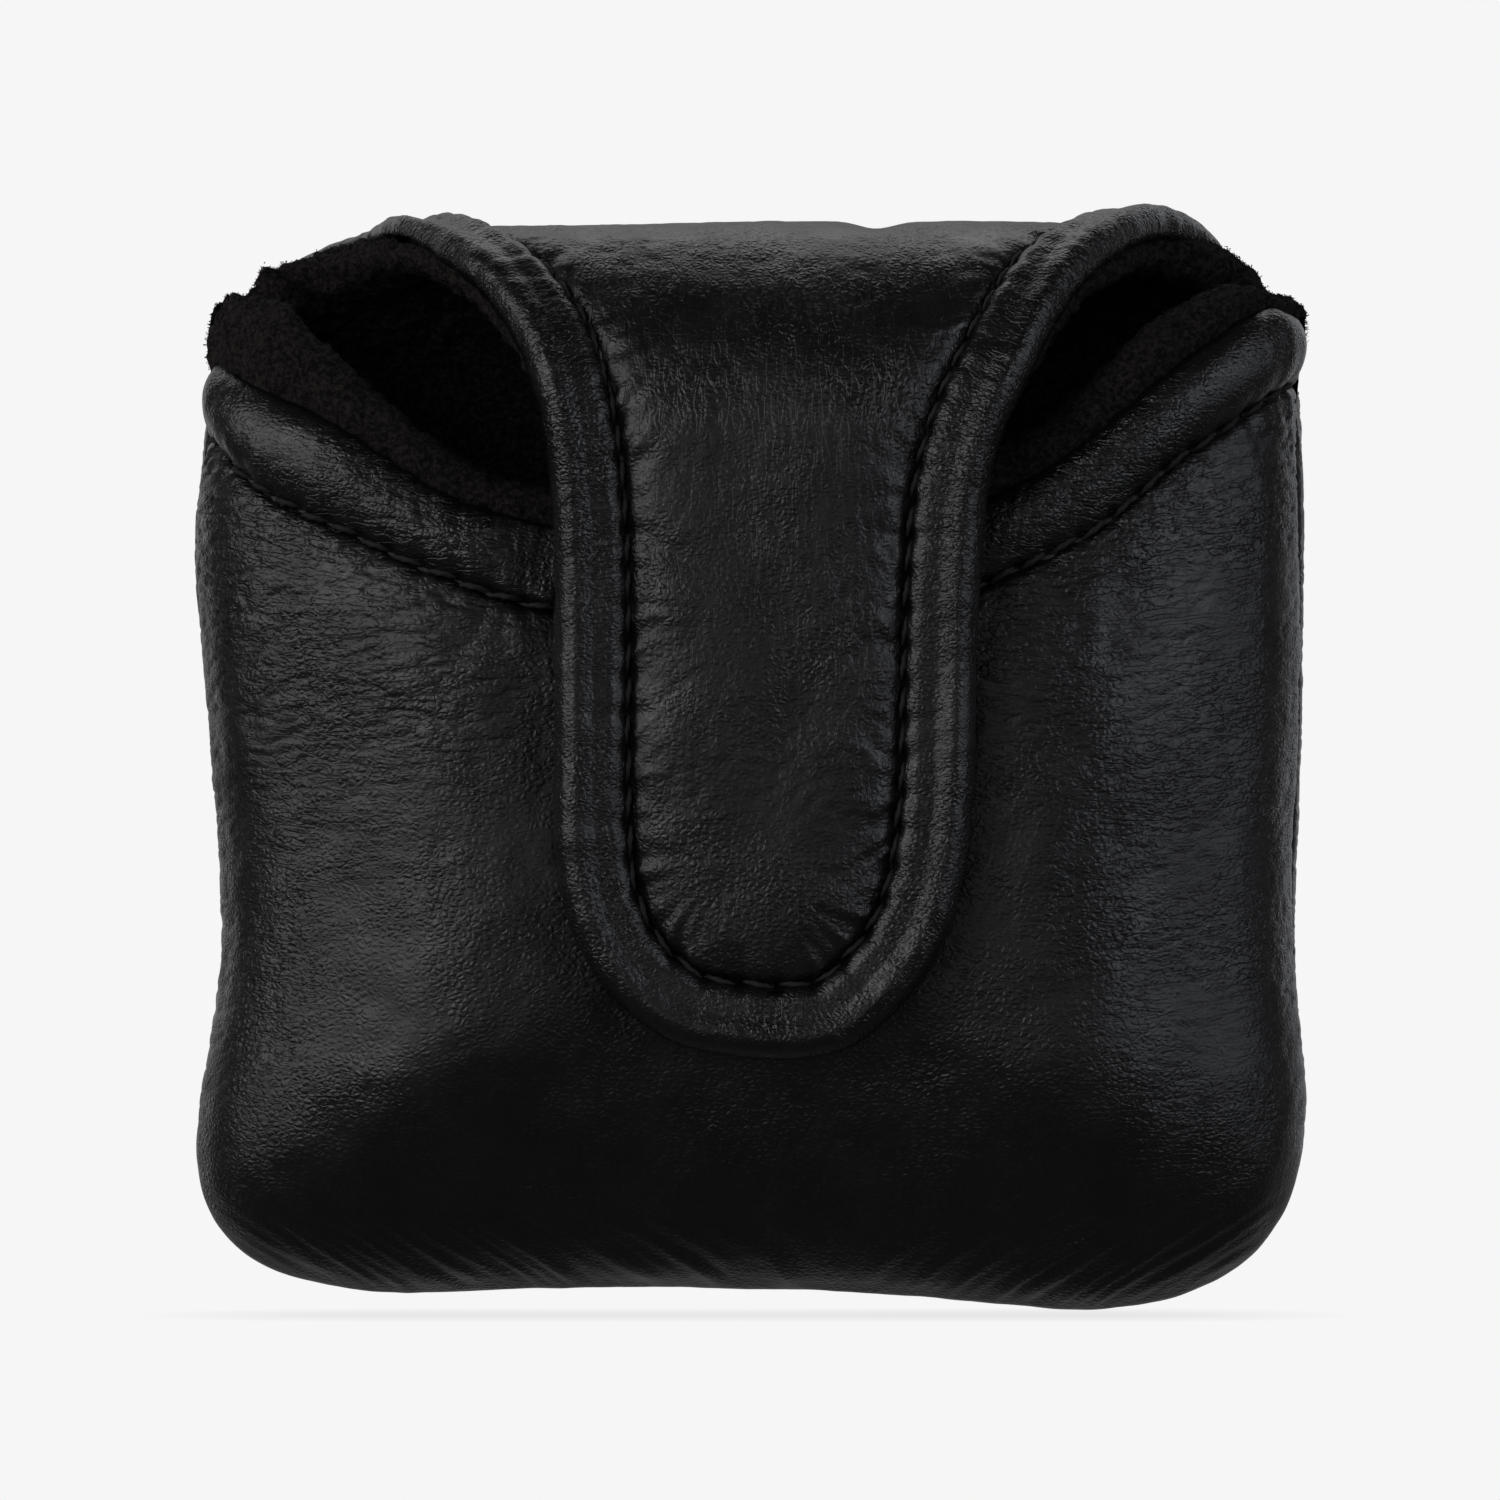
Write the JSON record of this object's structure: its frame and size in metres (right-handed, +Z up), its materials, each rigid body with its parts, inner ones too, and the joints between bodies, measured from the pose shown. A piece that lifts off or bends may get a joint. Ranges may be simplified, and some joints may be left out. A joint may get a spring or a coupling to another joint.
{
  "type": "mallet putter head cover",
  "caption": "Padded leather pouch for a square mallet putter head, fleece lined, with a tongue that folds over the mouth and shuts on hidden magnets.",
  "frame": {"origin": "under the middle of the base, at the centre of the closed cover's footprint", "axes": "+X along the mouth towards the right-hand shaft exit, +Y out of the back panel, away from the tongue's flap, +Z up from the base to the mouth"},
  "size_m": [0.12, 0.0508, 0.1189],
  "materials": {
    "leather": "soft pebble-grained leather, semi-matt",
    "bound_leather": "rolled leather band, slightly glossier than the panels",
    "fleece": "short matt fleece pile",
    "foam": "soft closed-cell foam sheet",
    "thread": "bonded thread with a slight sheen",
    "pouch_cloth": "plain woven cloth",
    "magnet": "nickel plated disc"
  },
  "bodies": {
    "pouch": {"front_panel": "leather", "front_rim_binding": "bound_leather", "front_foam": "foam", "front_lining": "fleece", "front_rim_stitches": "thread", "front_magnet": "magnet", "front_magnet_pouch": "pouch_cloth", "back_panel": "leather", "back_rim_binding": "bound_leather", "back_foam": "foam", "back_lining": "fleece", "back_rim_stitches": "thread", "side_seam_thread": "thread"},
    "bridge": {"bridge_leather": "leather", "bridge_binding": "bound_leather", "bridge_foam": "foam", "bridge_lining": "fleece", "bridge_stitches": "thread"},
    "flap": {"flap_leather": "leather", "flap_binding": "bound_leather", "flap_foam": "foam", "flap_lining": "fleece", "flap_stitches": "thread", "flap_magnet": "magnet", "flap_magnet_pouch": "pouch_cloth"}
  },
  "joints": [
    {"name": "tongue_root", "type": "hinge", "parent": "pouch", "child": "bridge", "pos_m": [0, 0.0128, 0.11512], "axis": [-1, 0, 0], "range_deg": [0, 110]},
    {"name": "flap_fold", "type": "hinge", "parent": "bridge", "child": "flap", "pos_m": [0, -0.025, 0.0933], "axis": [-1, 0, 0], "range_deg": [0, 150]}
  ]
}
